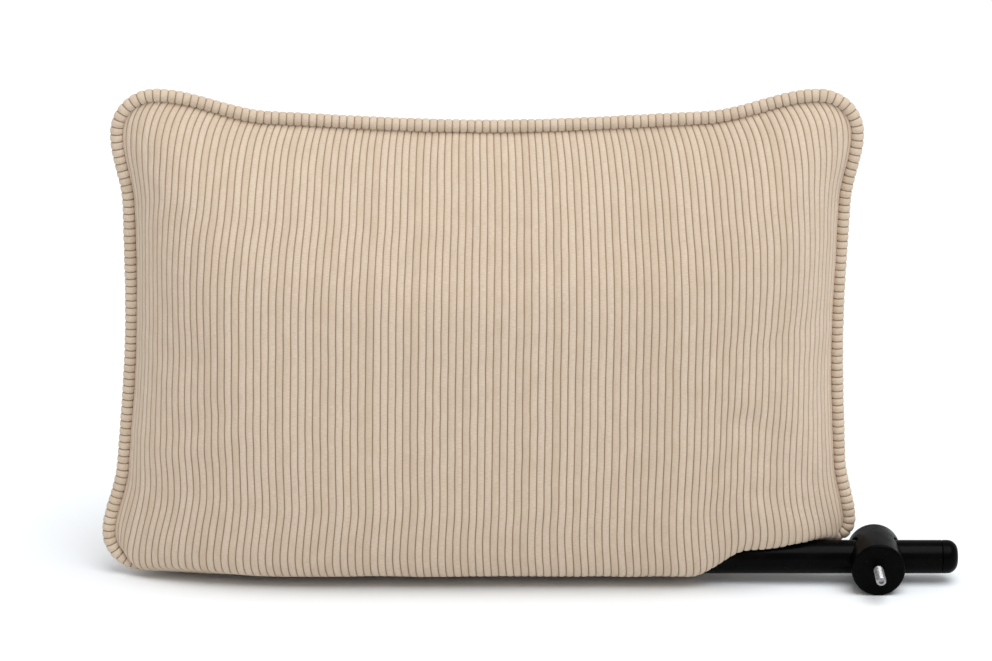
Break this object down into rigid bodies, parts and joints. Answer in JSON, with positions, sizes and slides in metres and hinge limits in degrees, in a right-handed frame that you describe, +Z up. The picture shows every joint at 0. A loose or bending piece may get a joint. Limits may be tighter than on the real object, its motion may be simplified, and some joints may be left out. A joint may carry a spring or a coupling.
{
  "type": "lumbar support cushion",
  "caption": "Piped corduroy support cushion built on a hidden hoop and a round black mounting bar, with a sliding clamp block and stud at one end.",
  "frame": {"origin": "middle of the bounding box, on the floor the cushion stands on", "axes": "+X to the right seen from the front, along the mounting bar towards its clamp; +Y to the back of the cushion; +Z up"},
  "size_m": [0.6872, 0.14, 0.4016],
  "materials": {
    "corduroy": "matt wide-wale corduroy",
    "cotton": "matt woven cotton",
    "wadding": "soft fibre",
    "foam": null,
    "zip_cloth": "woven tape",
    "webbing": "elastic webbing",
    "nylon": "satin",
    "zinc": "zinc-plated steel",
    "brass": "turned",
    "black_steel": "satin black powder coat",
    "black_plastic": "fine-textured black"
  },
  "bodies": {
    "cushion": {"front_cover": "corduroy", "back_cover": "corduroy", "piping_cover": "corduroy", "piping_cord": "cotton", "liner_front": "cotton", "liner_back": "cotton", "wadding_front": "wadding", "wadding_back": "wadding", "foam_front": "foam", "foam_back": "foam", "zip_tape_upper": "zip_cloth", "zip_tape_lower": "zip_cloth", "zip_teeth_upper": "nylon", "zip_teeth_lower": "nylon", "zip_stop_left": "zinc", "zip_stop_right": "zinc", "mounting_bar": "black_steel", "bar_end_cap_right": "black_plastic", "bar_end_cap_left": "black_plastic", "support_hoop": "black_steel", "webbing_strap_1": "webbing", "webbing_strap_2": "webbing", "webbing_strap_3": "webbing", "webbing_strap_4": "webbing"},
    "bush": {"bore_bush": "nylon"},
    "clamp": {"clamp_block": "black_plastic", "threaded_insert": "brass"},
    "pad": {"thrust_pad": "nylon"},
    "stud": {"clamp_stud": "zinc"},
    "zip_slider_body": {"zip_slider": "zinc"},
    "zip_pull_body": {"zip_pull": "zinc"}
  },
  "joints": [
    {"name": "clamp_slide", "type": "slide", "parent": "cushion", "child": "bush", "axis": [1, 0, 0], "range_m": [0, 0.04]},
    {"name": "clamp_tilt", "type": "hinge", "parent": "bush", "child": "clamp", "pos_m": [0.27757, -0.011, 0.0213], "axis": [1, 0, 0], "range_deg": [-30, 30]},
    {"name": "stud_feed", "type": "slide", "parent": "clamp", "child": "pad", "axis": [0, -1, 0], "range_m": [0, 0.005]},
    {"name": "stud_turn", "type": "hinge", "parent": "pad", "child": "stud", "pos_m": [0.27757, -0.051, 0.0213], "axis": [0, -1, 0], "range_deg": [0, 1440]},
    {"name": "zip_slide", "type": "slide", "parent": "cushion", "child": "zip_slider_body", "axis": [-1, 0, 0], "range_m": [0, 0.232]},
    {"name": "zip_pull_swing", "type": "hinge", "parent": "zip_slider_body", "child": "zip_pull_body", "pos_m": [0.06507, 0.05805, 0.03396], "axis": [0, -0.2747, -0.9615], "range_deg": [0, 85]}
  ],
  "couplings": [
    {"joint": "stud_turn", "follows": "stud_feed", "rad_per_m": 5026.5}
  ]
}
